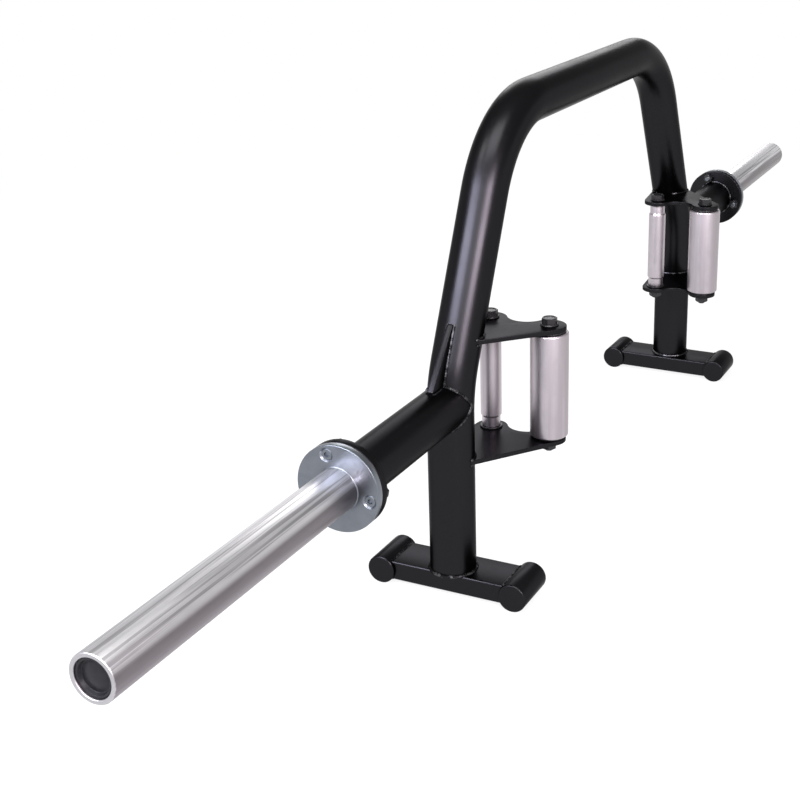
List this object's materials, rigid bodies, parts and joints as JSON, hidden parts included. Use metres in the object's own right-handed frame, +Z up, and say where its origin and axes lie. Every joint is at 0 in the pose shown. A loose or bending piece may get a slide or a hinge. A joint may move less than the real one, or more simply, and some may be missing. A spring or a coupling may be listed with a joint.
{
  "type": "open-ended trap bar",
  "caption": "Walk-in trap bar: a bent tube arch standing on two feet, with a plate sleeve outside and turning upright hand grips of two thicknesses inside each post.",
  "frame": {"origin": "on the floor, midway between the two posts and between the front and back foot rounds", "axes": "+X to the lifter's right along the sleeves, +Y towards the back, +Z up; the thick grips are on the -Y side"},
  "size_m": [2.2588, 0.2256, 0.627],
  "materials": {
    "frame_coat": "satin black powder coat on steel",
    "sleeve_chrome": "bright plated steel tube with fine lengthwise streaks",
    "flange_zinc": "zinc-plated steel, turned",
    "grip_steel": "satin bare steel",
    "fastener_black": "black oxide on steel",
    "plastic_black": "moulded black plastic"
  },
  "bodies": {
    "frame": {"arch_tube": "frame_coat", "left_stub_tube": "frame_coat", "left_gusset": "frame_coat", "left_frame_flange": "frame_coat", "left_sleeve_flange": "flange_zinc", "left_sleeve": "sleeve_chrome", "left_sleeve_cap": "plastic_black", "left_flange_screw_1": "flange_zinc", "left_flange_screw_2": "flange_zinc", "left_flange_screw_3": "flange_zinc", "left_flange_nut_1": "fastener_black", "left_flange_nut_2": "fastener_black", "left_flange_nut_3": "fastener_black", "left_foot_bar": "frame_coat", "left_front_foot_round": "frame_coat", "left_back_foot_round": "frame_coat", "left_upper_grip_plate": "frame_coat", "left_lower_grip_plate": "frame_coat", "left_thick_grip_bolt": "fastener_black", "left_thick_grip_nut": "fastener_black", "left_thick_grip_upper_washer": "fastener_black", "left_thick_grip_lower_washer": "fastener_black", "left_thin_grip_bolt": "fastener_black", "left_thin_grip_nut": "fastener_black", "left_thin_grip_upper_washer": "fastener_black", "left_thin_grip_lower_washer": "fastener_black", "right_stub_tube": "frame_coat", "right_gusset": "frame_coat", "right_frame_flange": "frame_coat", "right_sleeve_flange": "flange_zinc", "right_sleeve": "sleeve_chrome", "right_sleeve_cap": "plastic_black", "right_flange_screw_1": "flange_zinc", "right_flange_screw_2": "flange_zinc", "right_flange_screw_3": "flange_zinc", "right_flange_nut_1": "fastener_black", "right_flange_nut_2": "fastener_black", "right_flange_nut_3": "fastener_black", "right_foot_bar": "frame_coat", "right_front_foot_round": "frame_coat", "right_back_foot_round": "frame_coat", "right_upper_grip_plate": "frame_coat", "right_lower_grip_plate": "frame_coat", "right_thick_grip_bolt": "fastener_black", "right_thick_grip_nut": "fastener_black", "right_thick_grip_upper_washer": "fastener_black", "right_thick_grip_lower_washer": "fastener_black", "right_thin_grip_bolt": "fastener_black", "right_thin_grip_nut": "fastener_black", "right_thin_grip_upper_washer": "fastener_black", "right_thin_grip_lower_washer": "fastener_black"},
    "left_thick_grip": {"left_thick_grip": "grip_steel", "left_thick_grip_lower_bush": "plastic_black", "left_thick_grip_upper_bush": "plastic_black"},
    "left_thin_grip": {"left_thin_grip": "grip_steel"},
    "right_thick_grip": {"right_thick_grip": "grip_steel", "right_thick_grip_lower_bush": "plastic_black", "right_thick_grip_upper_bush": "plastic_black"},
    "right_thin_grip": {"right_thin_grip": "grip_steel"}
  },
  "joints": [
    {"name": "left_thick_grip_spin", "type": "hinge", "parent": "frame", "child": "left_thick_grip", "pos_m": [-0.338, -0.0875, 0.2605], "axis": [0, 0, 1], "continuous": true},
    {"name": "left_thin_grip_spin", "type": "hinge", "parent": "frame", "child": "left_thin_grip", "pos_m": [-0.338, -0.005, 0.2605], "axis": [0, 0, 1], "continuous": true},
    {"name": "right_thick_grip_spin", "type": "hinge", "parent": "frame", "child": "right_thick_grip", "pos_m": [0.338, -0.0875, 0.2605], "axis": [0, 0, 1], "continuous": true},
    {"name": "right_thin_grip_spin", "type": "hinge", "parent": "frame", "child": "right_thin_grip", "pos_m": [0.338, -0.005, 0.2605], "axis": [0, 0, 1], "continuous": true}
  ]
}
